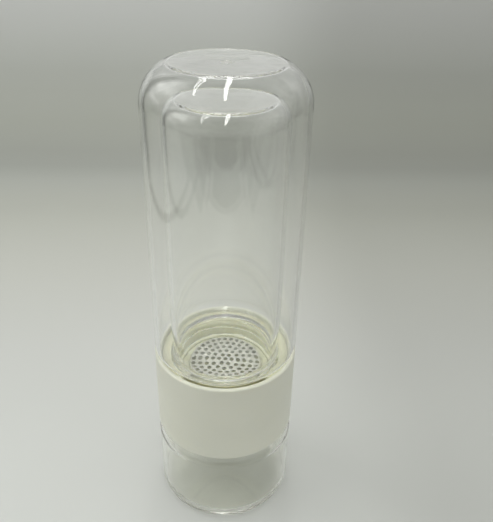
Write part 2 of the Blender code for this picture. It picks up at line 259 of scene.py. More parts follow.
def raised_cosine(radius: np.ndarray, reach: float) -> np.ndarray:
    """1 on the axis, falling along a cosine to 0 at the reach and beyond."""
    return (1.0 + np.cos(np.pi * np.clip(radius / reach, 0.0, 1.0))) / 2


@dataclass
class Surface:
    """Points and faces worked out as whole arrays. Surfaces add up, and end as one mesh."""

    points: np.ndarray
    faces: list[np.ndarray]

    def __add__(self, other: Surface) -> Surface:
        """Both surfaces side by side in one."""
        moved = [faces + len(self.points) for faces in other.faces]
        return Surface(np.concatenate([self.points, other.points]), self.faces + moved)

    def welded(self) -> Surface:
        """The same surface with equal points made one."""
        points, index = np.unique(self.points, axis=0, return_inverse=True)
        return Surface(points, [index.reshape(-1)[faces] for faces in self.faces])

    def piece(self, name: str, material: bpy.types.Material) -> bpy.types.Object:
        """Puts the surface into a mesh object at the origin, smooth but for its sharpest edges.

        Args:
            name: The piece's name.
            material: Its finish.

        Returns:
            The new object, linked to the scene.
        """
        mesh = bpy.data.meshes.new(name)
        faces = [face for group in self.faces for face in group.tolist()]
        mesh.from_pydata(self.points.tolist(), [], faces)
        mesh.shade_smooth()
        mesh.set_sharp_from_angle(angle=SHARP_ABOVE)
        mesh.materials.append(material)
        return linked(bpy.data.objects.new(name, mesh))


def linked(thing: bpy.types.Object) -> bpy.types.Object:
    """The same object, linked to the scene."""
    bpy.context.scene.collection.objects.link(thing)
    return thing


def lathe(
    path: np.ndarray, columns: int = COLUMNS, closed: bool = False, relief: Relief | None = None
) -> Surface:
    """A surface of revolution about +Z.

    Point (i, j) lies at height path[i, 1] and at radius path[i, 0] plus the relief, turned by
    2 pi j / columns. A row at radius zero is one point, the pole of a fan of triangles.

    Args:
        path: Rows of radius and height, which run down the outer side.
        columns: Points round the axis.
        closed: Whether the last row joins the first, as on a ring.
        relief: Height off the wall, from arrays of angle, radius and height.

    Returns:
        The surface, with its faces outwards.
    """
    angle = np.arange(columns)[None] * TAU / columns
    radius = path[:, :1] + 0.0 * angle
    height = path[:, 1:] + 0.0 * angle
    if relief is not None:
        radius = radius + relief(angle, radius, height)
    points = np.stack([radius * np.cos(angle), radius * np.sin(angle), height], axis=2)
    index = np.arange(len(path) * columns).reshape(len(path), columns)
    following = np.roll(index, -1, axis=1)
    first_pole, last_pole = path[0, 0] < TINY, path[-1, 0] < TINY
    rows = np.arange(first_pole, len(path) - last_pole)
    here, below = (rows, np.roll(rows, -1)) if closed else (rows[:-1], rows[1:])
    quads = np.stack([index[here], index[below], following[below], following[here]], axis=2)
    faces = [quads.reshape(-1, 4)]
    if first_pole:
        pole = np.full(columns, index[0, 0])
        faces.append(np.stack([pole, index[1], following[1]], axis=1))
    if last_pole:
        pole = np.full(columns, index[-1, 0])
        faces.append(np.stack([following[-2], index[-2], pole], axis=1))
    used = np.unique(np.concatenate([group.reshape(-1) for group in faces]))
    place = np.full(index.size, -1)
    place[used] = np.arange(len(used))
    return Surface(points.reshape(-1, 3)[used], [place[group] for group in faces])


def ring(corners: Sequence[Corner], relief: Relief | None = None) -> Surface:
    """A turned ring round the axis, whose closed section has these corners."""
    return lathe(rounded(corners, closed=True), closed=True, relief=relief)


@dataclass(frozen=True)
class ScrewThread:
    """A rounded helical bead on a cylinder's wall."""

    wall_radius: float
    low: float
    high: float
    datum: float
    side: Side
    pitch: float = 0.0045
    depth: float = 0.0010
    half_width: float = 0.0015
    end_turns: float = 0.12

    def relief(self, angle: np.ndarray, radius: np.ndarray, height: np.ndarray) -> np.ndarray:
        """Height of the bead off its wall.

        The helix climbs one pitch a turn from the datum. Across it the bead is a squared cosine of
        the distance along the axis to the helix's nearest turn, and it fades out at both ends by a
        soft step.

        Args:
            angle: Angle round the axis.
            radius: Radius of the wall there.
            height: Height there.

        Returns:
            What to add to the radius, zero off this thread's wall.
        """
        turn = np.round((height - self.datum) / self.pitch - angle / TAU)
        middle = self.datum + self.pitch * (turn + angle / TAU)
        off = np.minimum(np.abs(height - middle) / self.half_width, 1.0)
        from_end = np.minimum(middle - self.low, self.high - middle)
        bead = np.cos(0.5 * np.pi * off) ** 2 * soft_step(from_end / (self.end_turns * self.pitch))
        on_wall = np.abs(radius - self.wall_radius) < TINY
        return self.side.value * self.depth * bead * on_wall


class Value:
    """A shader socket that Python's operators work on. Each operator adds its Math node."""

    def __init__(self, graph: Graph, socket: bpy.types.NodeSocket | None) -> None:
        """Wraps an output socket of a graph."""
        self.graph = graph
        self.socket = socket

    def maths(self, operation: str, *terms: Value | float) -> Value:
        """The result of a Math node on the given terms."""
        sockets = dict(zip(("Value", "Value_001"), terms))
        return self.graph.add("ShaderNodeMath", {"operation": operation}, sockets)

    def __add__(self, other: Value | float) -> Value:
        """self + other."""
        return self.maths("ADD", self, other)

    __radd__ = __add__

    def __sub__(self, other: Value | float) -> Value:
        """self - other."""
        return self.maths("SUBTRACT", self, other)

    def __rsub__(self, other: Value | float) -> Value:
        """other - self."""
        return self.maths("SUBTRACT", other, self)

    def __mul__(self, other: Value | float) -> Value:
        """self * other."""
        return self.maths("MULTIPLY", self, other)

    __rmul__ = __mul__

    def __pow__(self, power: Value | float) -> Value:
        """self to a power."""
        return self.maths("POWER", self, power)

    def rise(self, low: float, high: float) -> Value:
        """A soft step of this value, from 0 at low to 1 at high."""
        sockets = {"Value": self, "From Min": low, "From Max": high}
        return self.graph.add("ShaderNodeMapRange", {"interpolation_type": "SMOOTHSTEP"}, sockets)


class Graph:
    """A node tree, with one method that adds any node."""

    def __init__(self, tree: bpy.types.NodeTree) -> None:
        """Takes a tree and empties it."""
        self.tree = tree
        self.tree.nodes.clear()

    def add(
        self,
        kind: str,
        settings: dict[str, object] | None = None,
        sockets: dict[str, object] | None = None,
        output: str = "",
    ) -> Value:
        """Adds a node.

        Args:
            kind: The node's type.
            settings: Its properties, set first; "stops" are a colour ramp's (place, colour) pairs.
            sockets: Its inputs by identifier, each a plain value or a Value to link.
            output: The name of the output that is wanted, if it isn't the first in use.

        Returns:
            That output.
        """
        node = self.tree.nodes.new(kind)
        for key, setting in (settings or {}).items():
            if key == "stops":
                self.set_stops(node.color_ramp, setting)
            else:
                setattr(node, key, setting)
        for key, given in (sockets or {}).items():
            socket = next(socket for socket in node.inputs if socket.identifier == key)
            if isinstance(given, Value):
                self.tree.links.new(given.socket, socket)
            else:
                socket.default_value = (*given, 1.0) if socket.type == "RGBA" else given
        shown = [socket for socket in node.outputs if socket.enabled and output in ("", socket.name)]
        return Value(self, shown[0] if shown else None)

    @staticmethod
    def set_stops(ramp: bpy.types.ColorRamp, stops: Stops) -> None:
        """Gives a colour ramp its stops.

        Args:
            ramp: The ramp, with Blender's two stops in it.
            stops: Places from 0 to 1 with their colours, in order.
        """
        for _ in range(len(stops) - len(ramp.elements)):
            ramp.elements.new(1.0)
        for element, (place, colour) in zip(ramp.elements, stops):
            element.position = place
            element.color = (*colour, 1.0)

    def place(self) -> Value:
        """The point on the piece, in metres, in the model's frame."""
        return self.add("ShaderNodeTexCoord", output="Object")

    def coordinate(self, axis: str) -> Value:
        """One coordinate of the point on the piece: X, Y or Z."""
        return self.add("ShaderNodeSeparateXYZ", sockets={"Vector": self.place()}, output=axis)

    def stretched(self, scale: Place) -> Value:
        """The point on the piece times a factor on each axis, for a drawn-out pattern."""
        return self.add("ShaderNodeMapping", sockets={"Vector": self.place(), "Scale": scale})

    def noise(self, size: float, detail: float, rough: float = 0.5, at: Value | None = None) -> Value:
        """Noise from 0 to 1 in patches of a size in metres, read at a point or else on the piece."""
        sockets = {"Vector": at or self.place(), "Scale": 1.0 / size, "Detail": detail, "Roughness": rough}
        return self.add("ShaderNodeTexNoise", sockets=sockets)

    def blend(self, share: Value, first: Colour | Value, second: Colour | Value) -> Value:
        """The first colour with a share of the second mixed in."""
        sockets = {"Factor_Float": share, "A_Color": first, "B_Color": second}
        return self.add("ShaderNodeMix", {"data_type": "RGBA"}, sockets)

    def mixed(self, share: Value, first: Value, second: Value) -> Value:
        """The first shader with a share of the second mixed in."""
        sockets = {"Fac": share, "Shader": first, "Shader_001": second}
        return self.add("ShaderNodeMixShader", sockets=sockets)

    def bumped(self, relief: Value, depth: float = 1.0) -> Value:
        """The normal over a relief whose 1 stands for a depth in metres."""
        return self.add("ShaderNodeBump", sockets={"Height": relief, "Distance": depth})


def new_material(name: str, surface: Callable[[Graph], Value]) -> bpy.types.Material:
    """A material of one surface shader.

    Args:
        name: Its name.
        surface: What builds the shader in the material's graph.

    Returns:
        The material.
    """
    material = bpy.data.materials.new(name)
    material.use_nodes = True
    graph = Graph(material.node_tree)
    graph.add("ShaderNodeOutputMaterial", sockets={"Surface": surface(graph)})
    return material


@dataclass(frozen=True)
class Finish:
    """What all finishes share: a name, the record's slot, and one material however often it is used."""

    name: str
    slot: Slot

    def surface(self, graph: Graph) -> Value:
        """The finish's shader."""
        raise NotImplementedError

    @cache
    def material(self) -> bpy.types.Material:
        """The finish as a material, made when it is first asked for."""
        return new_material(self.name, self.surface)


@dataclass(frozen=True)
class GlassFinish(Finish):
    """Clear borosilicate glass: faint waves from drawing the tube, fine pits, and finger haze."""

    tint: Colour
    haze_tint: Colour
    lamp_tint: Colour
    edge_shade: float = 0.80
    edge_power: float = 5.0
    refraction: float = 1.47
    polish: float = 0.008
    haze: float = 0.035
    haze_size: float = 0.030
    haze_from: float = 0.50
    haze_full: float = 0.78
    wave_stretch: Place = (1.0, 1.0, 0.18)
    wave_size: float = 0.0060
    wave_depth: float = 0.000012
    pit_size: float = 0.0011
    pit_depth: float = 0.0000022
    ripple_size: float = 0.0085
    ripple_depth: float = 0.000075
    ripple_from: float = 0.1930
    ripple_full: float = 0.2040

    def surface(self, graph: Graph) -> Value:
        """Haze raises the roughness in patches, and drawn-out noise with fine noise, and a ripple
        where the shoulders were worked by hand, bend the normal. Lamps pass through a Transparent
        shader that dims where the glass is seen edge on.

        Args:
            graph: The material's graph.

        Returns:
            The shader.
        """
        patches = graph.noise(self.haze_size, detail=4.0, rough=0.6).rise(self.haze_from, self.haze_full)
        waves = graph.noise(self.wave_size, detail=1.0, at=graph.stretched(self.wave_stretch))
        pits = graph.noise(self.pit_size, detail=2.0)
        worked = graph.coordinate("Z").rise(self.ripple_from, self.ripple_full)
        ripple = graph.noise(self.ripple_size, detail=1.0) * worked
        relief = waves * self.wave_depth + pits * self.pit_depth + ripple * self.ripple_depth
        glass = graph.add(
            "ShaderNodeBsdfPrincipled",
            sockets={
                "Base Color": graph.blend(patches, self.tint, self.haze_tint),
                "Roughness": patches * self.haze + self.polish,
                "IOR": self.refraction,
                "Transmission Weight": 1.0,
                "Normal": graph.bumped(relief),
            },
        )
        facing = graph.add("ShaderNodeLayerWeight", sockets={"Blend": 0.5}, output="Facing")
        clear = graph.add("ShaderNodeBsdfTransparent", sockets={"Color": self.lamp_tint})
        dark = graph.add("ShaderNodeBsdfTransparent", sockets={"Color": (0.0, 0.0, 0.0)})
        shadow = graph.add("ShaderNodeLightPath", output="Is Shadow Ray")
        for_lamps = graph.mixed(shadow * facing**self.edge_power * self.edge_shade, clear, dark)
        return graph.mixed(shadow, glass, for_lamps)


@dataclass(frozen=True)
class MouldedFinish(Finish):
    """A moulded plastic or rubber: slow shifts of colour, a fine grain, and light that soaks in."""

    colour: Colour
    cast: Colour
    roughness: float
    roughness_swing: float
    soak: float
    soak_depth: float = 0.0022
    soak_colour: Colour = (1.0, 0.92, 0.62)
    patch_size: float = 0.028
    patch_share: float = 0.8
    grain_size: float = 0.00045
    grain_share: float = 0.2
    grain_depth: float = 0.000004
    cast_from: float = 0.30
    cast_full: float = 0.70
    flow_size: float = 0.0070
    flow_stretch: Place = (1.0, 1.0, 0.35)
    flow_depth: float = 0.000030
    # Painted shade: the share that darkens the colour, and the colour that it darkens towards
    shading: Callable[[Graph], Value] | None = None
    shade: Colour = (0.0, 0.0, 0.0)

    def surface(self, graph: Graph) -> Value:
        """Slow noise mixes the two colours and swings the roughness, and flow marks with a fine grain on
        them bend the normal. Where a painted-shade share is given, it darkens the colour towards the shade
        colour.

        Args:
            graph: The material's graph.

        Returns:
            The shader.
        """
        patches = graph.noise(self.patch_size, detail=3.0)
        grain = graph.noise(self.grain_size, detail=1.0)
        flow = graph.noise(self.flow_size, detail=1.0, at=graph.stretched(self.flow_stretch))
        share = (patches * self.patch_share + grain * self.grain_share).rise(self.cast_from, self.cast_full)
        colour = graph.blend(share, self.colour, self.cast)
        # Painted shade, where a share is given
        if self.shading is not None:
            colour = graph.blend(self.shading(graph), colour, self.shade)
        return graph.add(
            "ShaderNodeBsdfPrincipled",
            sockets={
                "Base Color": colour,
                "Roughness": (patches - 0.5) * self.roughness_swing + self.roughness,
                "Subsurface Weight": self.soak,
                "Subsurface Radius": self.soak_colour,
                "Subsurface Scale": self.soak_depth,
                "Normal": graph.bumped(flow * self.flow_depth + grain * self.grain_depth),
            },
        )


@dataclass(frozen=True)
class SteelFinish(Finish):
    """Pressed stainless sheet: a satin grain, faint drawing marks, and dull water spots."""

    colour: Colour
    dull: Colour
    roughness: float = 0.27
    spot_roughness: float = 0.16
    grain_roughness: float = 0.06
    spot_size: float = 0.0042
    spot_from: float = 0.42
    spot_full: float = 0.72
    grain_size: float = 0.00022
    grain_stretch: Place = (1.0, 0.12, 0.4)
    grain_depth: float = 0.0000022

    def surface(self, graph: Graph) -> Value:
        """Spots dull the colour and the shine, and a drawn-out grain bends the normal.

        Args:
            graph: The material's graph.

        Returns:
            The shader.
        """
        spots = graph.noise(self.spot_size, detail=3.0).rise(self.spot_from, self.spot_full)
        grain = graph.noise(self.grain_size, detail=1.0, at=graph.stretched(self.grain_stretch))
        return graph.add(
            "ShaderNodeBsdfPrincipled",
            sockets={
                "Base Color": graph.blend(spots, self.colour, self.dull),
                "Metallic": 1.0,
                "Roughness": spots * self.spot_roughness + grain * self.grain_roughness + self.roughness,
                "Normal": graph.bumped(grain, self.grain_depth),
            },
        )


FLASK_GLASS = GlassFinish(
    "clear_glass", Slot.GLASS, (0.996, 0.998, 0.994), (0.986, 0.988, 0.982), (0.966, 0.970, 0.958)
)
CHAMBER_GLASS = GlassFinish(
    "chamber_glass", Slot.GLASS, (0.994, 0.997, 0.968), (0.984, 0.987, 0.956), (0.984, 0.987, 0.970)
)
IVORY = MouldedFinish(
    "ivory_plastic", Slot.IVORY, (0.690, 0.692, 0.600), (0.660, 0.665, 0.575), 0.36, 0.12, 0.18
)
NATURAL = MouldedFinish(
    "natural_plastic", Slot.NATURAL, (0.815, 0.812, 0.625), (0.780, 0.776, 0.585), 0.40, 0.12, 0.35
)
SILICONE = MouldedFinish(
    "pale_silicone", Slot.SILICONE, (0.715, 0.718, 0.565), (0.685, 0.690, 0.535), 0.48, 0.10, 0.40,
    grain_size=0.0003,
)
STEEL = SteelFinish("stainless_steel", Slot.STEEL, (0.665, 0.660, 0.605), (0.570, 0.565, 0.510))


def dress(surface: Surface, name: str, finish: Finish, body: Body, *nodes: str) -> bpy.types.Object:
    """Makes a surface a finished piece on its body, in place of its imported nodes.

    Args:
        surface: The piece's surface.
        name: Its name.
        finish: Its finish.
        body: The body that it rides on.
        nodes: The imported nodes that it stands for.

    Returns:
        The piece.
    """
    piece = surface.piece(name, finish.material())
    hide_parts(*nodes)
    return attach(piece, body.value)


@dataclass(frozen=True)
class Fit:
    """Sizes that neighbouring pieces share."""

    gap: float = 0.0003
    glass_wall: float = 0.0018
    shoulder_fillet: float = 0.0070
    neck_fillet: float = 0.0012
    mouth_fillet: float = 0.0007
    thread_margin: float = 0.0020
    bead_radius: float = 0.0012
    neck_thread_depth: float = 0.0004
    insert_wall: float = 0.0048
    insert_fillet: float = 0.0004
    gasket_fillet: float = 0.0003


@dataclass
class TeaChamber:
    """The single-wall glass that the bottle stands on."""

    fit: Fit
    foot_fillet: float = 0.0060
    heel_fillet: float = 0.0062
    foot_rise: float = 0.0006
    foot_rise_radius: float = 0.0235
    floor_step: float = 0.0012

    def __post_init__(self) -> None:
        """Reads the chamber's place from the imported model."""
        self.body = Extent.of("tea_chamber")
        self.shoulder = Extent.of("collar_sleeve").bottom - self.fit.gap
        low = self.shoulder + self.fit.thread_margin + self.fit.bead_radius
        high = self.body.top - self.fit.thread_margin
        self.thread = ScrewThread(Extent.of("chamber_gasket").radius, low, high, low, Side.OUTWARD)

    def section(self) -> np.ndarray:
        """The glass's outline: up the inside from the floor's centre, round the mouth, and down the
        outside to the foot's centre. The floor is pushed up in the middle by a raised cosine.

        Returns:
            Rows of radius and height.
        """
        fit, body, neck = self.fit, self.body, self.thread.wall_radius
        outer = [
            Corner(neck, body.top, fit.mouth_fillet, THREAD_STEP),
            Corner(neck, self.shoulder, fit.neck_fillet),
            Corner(body.radius, self.shoulder, fit.shoulder_fillet),
            Corner(body.radius, 0.0, self.foot_fillet, self.floor_step),
            Corner(0.0, 0.0),
        ]
        inner = inset(outer, fit.glass_wall)[::-1]
        inner[0] = replace(inner[0], step=self.floor_step)
        inner[1] = replace(inner[1], fillet=self.heel_fillet)
        inner[-1] = replace(inner[-1], fillet=fit.mouth_fillet)
        path = rounded(inner + outer)
        on_floor = path[:, 1] < 2.0 * fit.glass_wall
        path[:, 1] += self.foot_rise * on_floor * raised_cosine(path[:, 0], self.foot_rise_radius)
        return path

    def build(self) -> bpy.types.Object:
        """Builds the chamber as one closed glass with its thread."""
        glass = lathe(self.section(), relief=self.thread.relief)
        return dress(glass, "tea_chamber_glass", CHAMBER_GLASS, Body.TEA_CHAMBER, "tea_chamber")


@dataclass
class Flask:
    """The double-wall glass above: an outer jacket fused to the inner liner at its lip."""

    fit: Fit
    base_slope_width: float = 0.0102
    base_slope_drop: float = 0.0052
    base_edge_fillet: float = 0.0036
    base_shoulder_fillet: float = 0.0165
    liner_slope_width: float = 0.0055
    liner_slope_drop: float = 0.0028
    liner_edge_fillet: float = 0.0034
    liner_shoulder_fillet: float = 0.0085
    taper_above_lip: float = 0.0040
    taper_length: float = 0.0140
    taper_fillet: float = 0.1600
    fused_fillet: float = 0.0034
    seal_drop: float = 0.0010
    seal_drop_radius: float = 0.0030
    seal_step: float = 0.0004

    def __post_init__(self) -> None:
        """Reads the flask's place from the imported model."""
        self.jacket = Extent.of("outer_jacket")
        self.liner = Extent.of("inner_liner")
        self.neck_radius = Extent.of("flask_gasket").radius
        low = self.liner.bottom + self.fit.thread_margin
        high = self.jacket.bottom - self.fit.thread_margin
        depth = self.fit.neck_thread_depth
        self.thread = ScrewThread(self.neck_radius, low, high, low, Side.OUTWARD, depth=depth)

    def jacket_corners(self) -> list[Corner]:
        """The jacket's outer side.

        Returns:
            Its corners, from the base's centre on top down to the lip on the neck.
        """
        jacket = self.jacket
        return [
            Corner(0.0, jacket.top),
            Corner(jacket.radius - self.base_slope_width, jacket.top, self.base_edge_fillet),
            Corner(jacket.radius, jacket.top - self.base_slope_drop, self.base_shoulder_fillet),
            Corner(jacket.radius, jacket.bottom, self.fit.shoulder_fillet),
            Corner(self.neck_radius, jacket.bottom, self.fit.neck_fillet, THREAD_STEP),
        ]

    def liner_corners(self) -> list[Corner]:
        """The liner's outer side.

        Returns:
            Its corners, from its base's centre down to the mouth.
        """
        liner = self.liner
        taper_bottom = self.jacket.bottom + self.taper_above_lip
        return [
            Corner(0.0, liner.top),
            Corner(liner.radius - self.liner_slope_width, liner.top, self.liner_edge_fillet),
            Corner(liner.radius, liner.top - self.liner_slope_drop, self.liner_shoulder_fillet),
            Corner(liner.radius, taper_bottom + self.taper_length, self.taper_fillet),
            Corner(self.neck_radius, taper_bottom, self.taper_fillet),
            Corner(self.neck_radius, liner.bottom),
        ]

    def outside(self) -> np.ndarray:
        """The face that air and tea touch: down the jacket, along the neck, round the mouth and up
        inside the liner to its base.

        Returns:
            Rows of radius and height.
        """
        mouth = Corner(self.neck_radius, self.liner.bottom, self.fit.mouth_fillet)
        bore = inset(self.liner_corners(), self.fit.glass_wall)[::-1]
        bore[0] = replace(bore[0], fillet=self.fit.mouth_fillet)
        return rounded([*self.jacket_corners(), mouth, *bore])

    def sealed_space(self) -> np.ndarray:
        """The face of the sealed space between both walls: down the liner's outer side, across the
        fused lip, up inside the jacket, and in to the drop of glass where the base was sealed. The
        drop is a raised cosine.

        Returns:
            Rows of radius and height.
        """
        wall = self.fit.glass_wall
        floor = Corner(self.neck_radius, self.jacket.bottom + wall, self.fused_fillet)
        *up, centre = inset(self.jacket_corners(), wall)[-2::-1]
        drop = Corner(self.seal_drop_radius, centre.height, step=self.seal_step)
        path = rounded([*self.liner_corners()[:-1], floor, *up, drop, centre])
        under_base = path[:, 1] > self.jacket.top - 2.0 * wall
        path[:, 1] -= self.seal_drop * under_base * raised_cosine(path[:, 0], self.seal_drop_radius)
        return path

    def build(self) -> bpy.types.Object:
        """Builds the flask as one fused glass round its sealed space."""
        glass = lathe(self.outside(), relief=self.thread.relief) + lathe(self.sealed_space())
        return dress(glass, "flask_glass", FLASK_GLASS, Body.FLASK, "outer_jacket", "inner_liner")


@dataclass(frozen=True)
class FrontSlot:
    """The slot in the upper insert's top that shows as a dark crescent under the flask's shoulder, with
    painted shade inside it and on the insert's top round it.
    """

    inside: float = 0.0260
    outside: float = 0.0289
    depth: float = 0.0046
    fillet: float = 0.0002
    arc: float = math.radians(45.0)
    runout: float = math.radians(10.0)
    shallow: float = 0.04
    # Painted shade: its colour, its share on the insert's top, and how far below the top that share fades
    # in, in fillets
    shade: Colour = (0.47, 0.46, 0.33)
    rim_shade: float = 0.55
    rim_fillets: float = 4.0

    def cut(self, surface: Surface, top: float) -> Surface:
        """Leaves the slot deep only at the front. Elsewhere its depth shrinks to the shallow share,
        by a factor that rises by a soft step over the run-out at both ends of the arc.

        Args:
            surface: The insert, with the slot all round.
            top: The insert's top.

        Returns:
            The insert with the slot's points lifted.
        """
        x, y, z = surface.points.T
        radius = np.hypot(x, y)
        reach = self.fillet + TINY
        beside = (radius < self.inside - reach) | (radius > self.outside + reach)
        inside = ~beside & (z > top - self.depth - TINY)
        from_front = np.abs(np.arctan2(x, -y))
        share = self.shallow + (1.0 - self.shallow) * soft_step((self.arc - from_front) / self.runout)
        lifted = np.where(inside, top - (top - z) * share, z)
        return Surface(np.stack([x, y, lifted], axis=1), surface.faces)

    def shading(self, graph: Graph, top: float) -> Value:
        """How much painted shade darkens the insert: fully inside the slot, and in part on the rim round
        it, which the flask's shoulder covers.

        Args:
            graph: The material's graph.
            top: The insert's top.

        Returns:
            0 away from both, the rim's share on the top, and 1 well inside the slot.
        """
        x, y, z = (graph.coordinate(axis) for axis in "XYZ")
        radius = (x * x + y * y) ** 0.5
        past_inside = radius.rise(self.inside - self.fillet, self.inside)
        past_outside = radius.rise(self.outside, self.outside + self.fillet)
        above_floor = z.rise(top - self.depth - self.fillet, top - self.depth)
        near_top = z.rise(top - self.rim_fillets * self.fillet, top - self.fillet)
        inside = past_inside * (1.0 - past_outside) * above_floor * (1.0 - near_top)
        return inside + near_top * self.rim_shade


@dataclass
class Collar:
    """The ivory sleeve and the two threaded inserts inside it."""

    fit: Fit
    sleeve_wall: float = 0.0022
    sleeve_fillet: float = 0.0008
    lip_width: float = 0.0015
    lip_height: float = 0.0017
    ledge_thickness: float = 0.0020
    ledge_width: float = 0.0049
    floor_thickness: float = 0.0020
    skirt_wall: float = 0.0022
    well_wall: float = 0.0020
    slot: FrontSlot = field(default_factory=FrontSlot)

    def __post_init__(self) -> None:
        """Reads the collar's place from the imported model."""
        self.sleeve = Extent.of("collar_sleeve")
        self.lower = Extent.of("lower_insert")
        self.upper = Extent.of("upper_insert")
        self.socket_radius = self.upper.radius - self.fit.insert_wall

    def sleeve_corners(self) -> list[Corner]:
        """The sleeve's closed section, with the lip inside its lower edge.

        Returns:
            Its corners.
        """
        sleeve, fillet, small = self.sleeve, self.sleeve_fillet, self.fit.insert_fillet
        bore = sleeve.radius - self.sleeve_wall
        lip_radius, lip_top = bore - self.lip_width, sleeve.bottom + self.lip_height
        return [
            Corner(sleeve.radius, sleeve.top, fillet),
            Corner(sleeve.radius, sleeve.bottom, fillet),
            Corner(lip_radius, sleeve.bottom, small),
            Corner(lip_radius, lip_top, small),
            Corner(bore, lip_top),
            Corner(bore, sleeve.top, fillet),
        ]

    def lower_corners(self) -> list[Corner]:
        """The lower insert's closed section, with the ledge over the chamber's gasket.

        Returns:
            Its corners.
        """
        lower, small = self.lower, self.fit.insert_fillet
        ledge_bottom = lower.top - self.ledge_thickness
        ledge_bore = self.socket_radius - self.ledge_width
        return [
            Corner(lower.radius, lower.top, small),
            Corner(lower.radius, lower.bottom, small),
            Corner(self.socket_radius, lower.bottom, small, THREAD_STEP),
            Corner(self.socket_radius, ledge_bottom),
            Corner(ledge_bore, ledge_bottom, small),
            Corner(ledge_bore, lower.top, small),
        ]

    def upper_corners(self, well_radius: float, floor_top: float) -> list[Corner]:
        """The upper insert's closed section, with the floor, the strainer's well, and the slot.

        Args:
            well_radius: The well's radius.
            floor_top: The height of the floor round the well.

        Returns:
            Its corners.
        """
        upper, slot = self.upper, self.slot
        skirt, well_outside = upper.radius - self.skirt_wall, well_radius + self.well_wall
        floor_bottom, slot_bottom = floor_top - self.floor_thickness, upper.top - slot.depth
        corners = filleted(
            self.fit.insert_fillet,
            (upper.radius, upper.top),
            (upper.radius, upper.bottom),
            (skirt, upper.bottom),
            (skirt, floor_bottom),
            (well_outside, floor_bottom),
            (well_outside, upper.bottom),
            (well_radius, upper.bottom),
            (well_radius, floor_top),
            (self.socket_radius, floor_top),
            (self.socket_radius, upper.top),
        )
        corners[-2] = replace(corners[-2], step=THREAD_STEP)
        return corners + filleted(
            slot.fillet,
            (slot.inside, upper.top),
            (slot.inside, slot_bottom),
            (slot.outside, slot_bottom),
            (slot.outside, upper.top),
        )

    def socket(self, low: float, high: float, neck: ScrewThread) -> ScrewThread:
        """The thread in a socket, half a pitch off the one on the neck that it takes."""
        datum = neck.datum + neck.pitch / 2
        return ScrewThread(self.socket_radius, low, high, datum, Side.INWARD, depth=neck.depth)

    def build(self, chamber: TeaChamber, flask: Flask, cup: StrainerCup) -> list[bpy.types.Object]:
        """Builds the three pieces.

        Args:
            chamber: The tea chamber, whose neck the lower socket takes.
            flask: The flask, whose neck the upper socket takes.
            cup: The strainer, whose seal the well takes.

        Returns:
            The pieces.
        """
        fit, top = self.fit, self.upper.top
        # The inserts' plastic, with painted shade in the front slot and on the upper insert's top
        natural = replace(
            NATURAL, shading=lambda graph: self.slot.shading(graph, top), shade=self.slot.shade
        )
        below = self.socket(self.lower.bottom + fit.thread_margin, chamber.thread.high, chamber.thread)
        above = self.socket(flask.thread.low, top - fit.bead_radius, flask.thread)
        lower = ring(self.lower_corners(), below.relief)
        upper = ring(self.upper_corners(cup.seal_radius + fit.gap, cup.floor_top), above.relief)
        upper = self.slot.cut(upper, top)
        return [
            dress(ring(self.sleeve_corners()), "sleeve_shell", IVORY, Body.COLLAR, "collar_sleeve"),
            dress(lower, "chamber_thread_insert", natural, Body.COLLAR, "lower_insert"),
            dress(upper, "flask_thread_insert", natural, Body.COLLAR, "upper_insert"),
        ]


@dataclass
class Gasket:
    """A flat soft ring under a glass mouth."""

    fit: Fit
    node: str
    body: Body
    width: float = 0.0026

    def build(self) -> bpy.types.Object:
        """Builds the ring.

        Returns:
            The piece.
        """
        flat = Extent.of(self.node)
        bore = flat.radius - self.width
        section = filleted(
            self.fit.gasket_fillet,
            (flat.radius, flat.top),
            (flat.radius, flat.bottom),
            (bore, flat.bottom),
            (bore, flat.top),
        )
        return dress(ring(section), self.node + "_ring", SILICONE, self.body, self.node)


